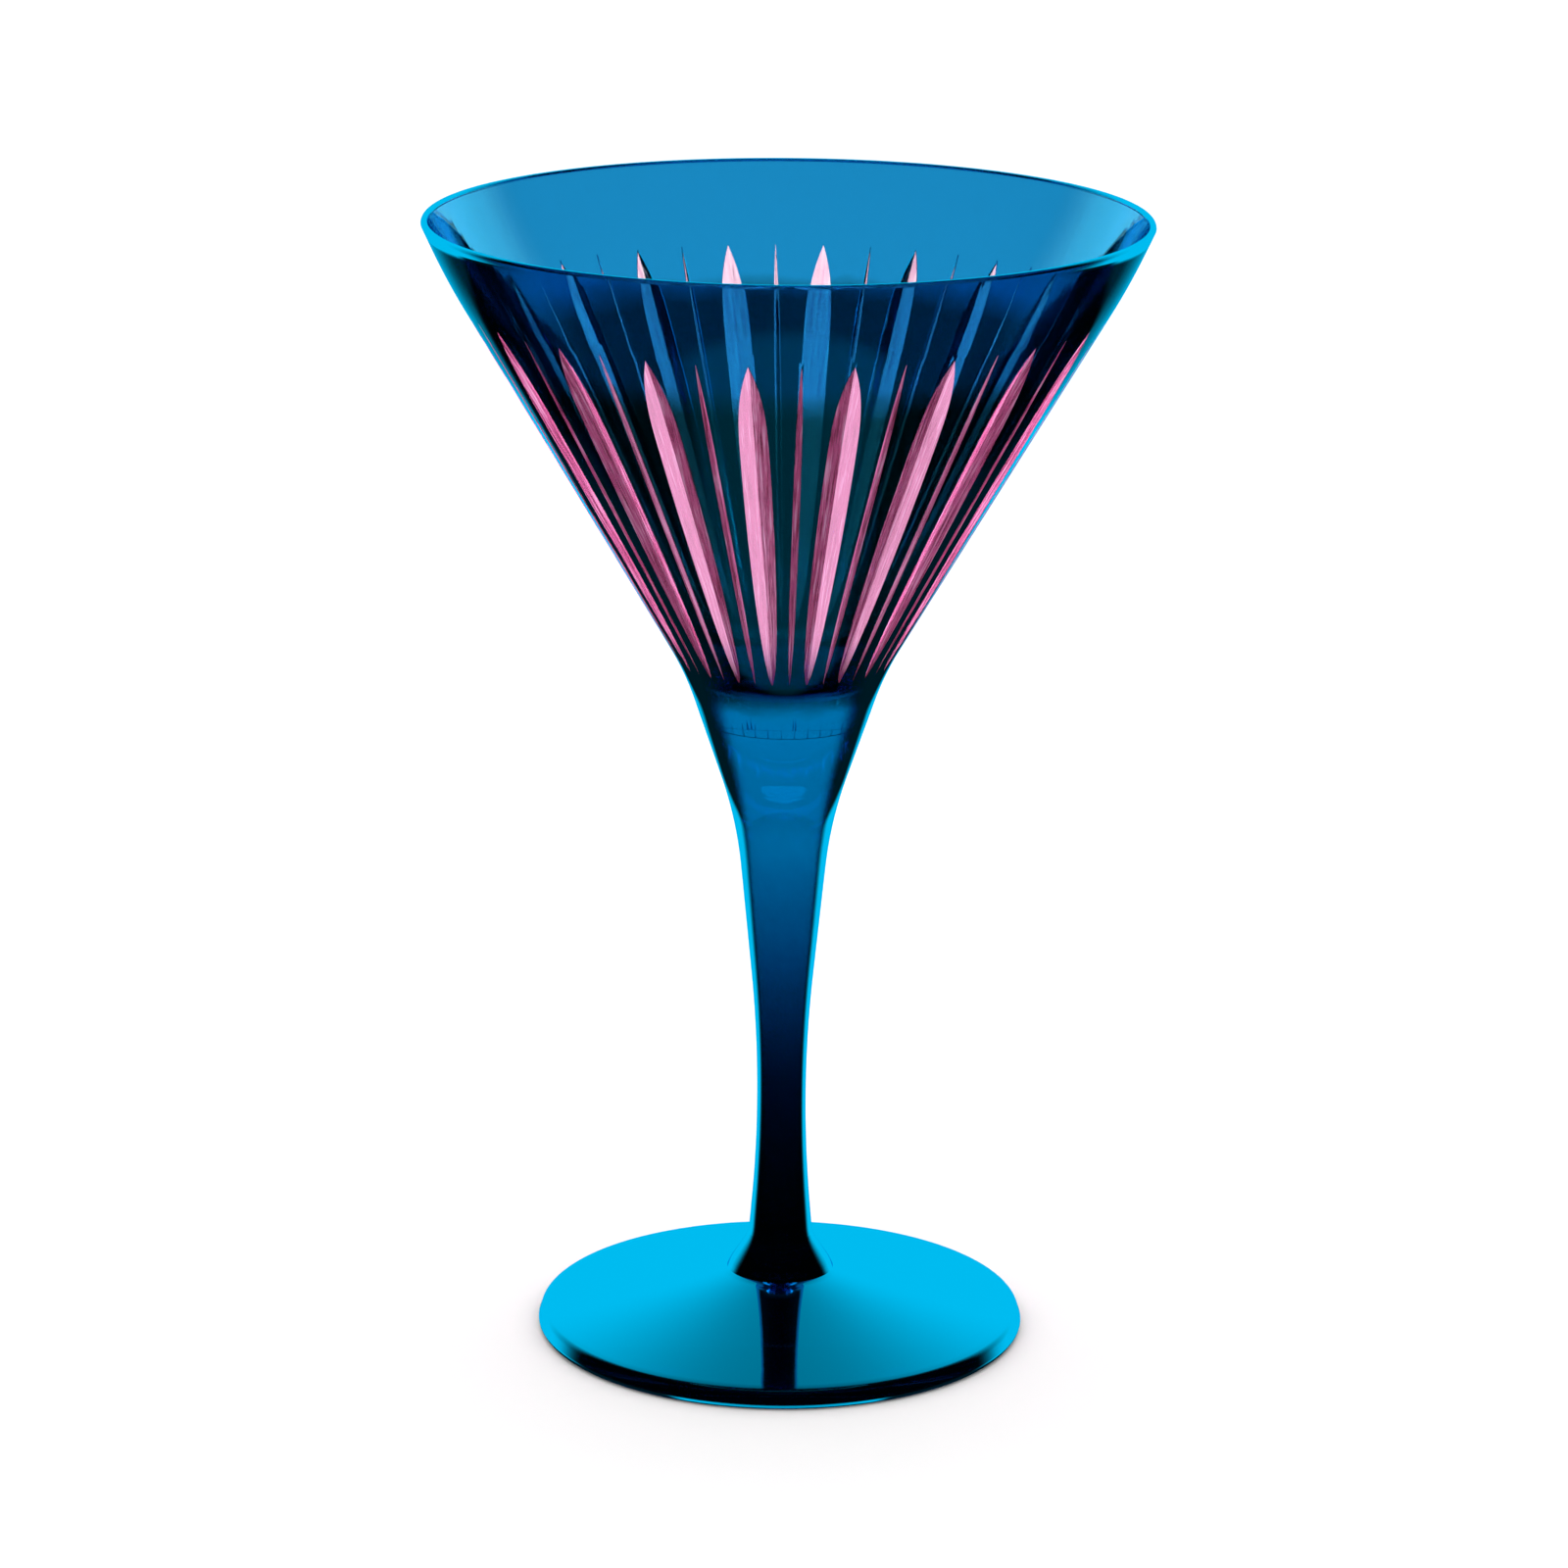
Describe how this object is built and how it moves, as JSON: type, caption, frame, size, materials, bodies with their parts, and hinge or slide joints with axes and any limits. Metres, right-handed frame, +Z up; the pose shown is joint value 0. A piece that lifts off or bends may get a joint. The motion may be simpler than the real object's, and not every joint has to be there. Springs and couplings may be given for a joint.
{
  "type": "martini glass",
  "caption": "Conical stemmed cocktail glass in clear crystal with a blue metallic casing, cut with alternating wide and narrow flutes lined in rose.",
  "frame": {"origin": "middle of the ring on the underside of the foot that the glass rests on", "axes": "+Z up along the glass's axis of symmetry; -Y is the side seen in the picture"},
  "size_m": [0.1094, 0.1093, 0.175],
  "materials": {
    "clear_crystal": "clear polished crystal",
    "blue_casing": "see-through blue casing with a metallic lustre",
    "rose_lining": "satin rose enamel in the cuts"
  },
  "bodies": {
    "root": {"foot_crystal": "clear_crystal", "foot_blue_casing": "blue_casing", "stem_crystal": "clear_crystal", "stem_blue_casing": "blue_casing", "bowl_crystal": "clear_crystal", "bowl_blue_casing": "blue_casing", "rose_lining_wide_01": "rose_lining", "rose_lining_wide_02": "rose_lining", "rose_lining_wide_03": "rose_lining", "rose_lining_wide_04": "rose_lining", "rose_lining_wide_05": "rose_lining", "rose_lining_wide_06": "rose_lining", "rose_lining_wide_07": "rose_lining", "rose_lining_wide_08": "rose_lining", "rose_lining_wide_09": "rose_lining", "rose_lining_wide_10": "rose_lining", "rose_lining_wide_11": "rose_lining", "rose_lining_wide_12": "rose_lining", "rose_lining_wide_13": "rose_lining", "rose_lining_wide_14": "rose_lining", "rose_lining_wide_15": "rose_lining", "rose_lining_wide_16": "rose_lining", "rose_lining_wide_17": "rose_lining", "rose_lining_wide_18": "rose_lining", "rose_lining_wide_19": "rose_lining", "rose_lining_wide_20": "rose_lining", "rose_lining_narrow_01": "rose_lining", "rose_lining_narrow_02": "rose_lining", "rose_lining_narrow_03": "rose_lining", "rose_lining_narrow_04": "rose_lining", "rose_lining_narrow_05": "rose_lining", "rose_lining_narrow_06": "rose_lining", "rose_lining_narrow_07": "rose_lining", "rose_lining_narrow_08": "rose_lining", "rose_lining_narrow_09": "rose_lining", "rose_lining_narrow_10": "rose_lining", "rose_lining_narrow_11": "rose_lining", "rose_lining_narrow_12": "rose_lining", "rose_lining_narrow_13": "rose_lining", "rose_lining_narrow_14": "rose_lining", "rose_lining_narrow_15": "rose_lining", "rose_lining_narrow_16": "rose_lining", "rose_lining_narrow_17": "rose_lining", "rose_lining_narrow_18": "rose_lining", "rose_lining_narrow_19": "rose_lining", "rose_lining_narrow_20": "rose_lining"}
  },
  "joints": []
}
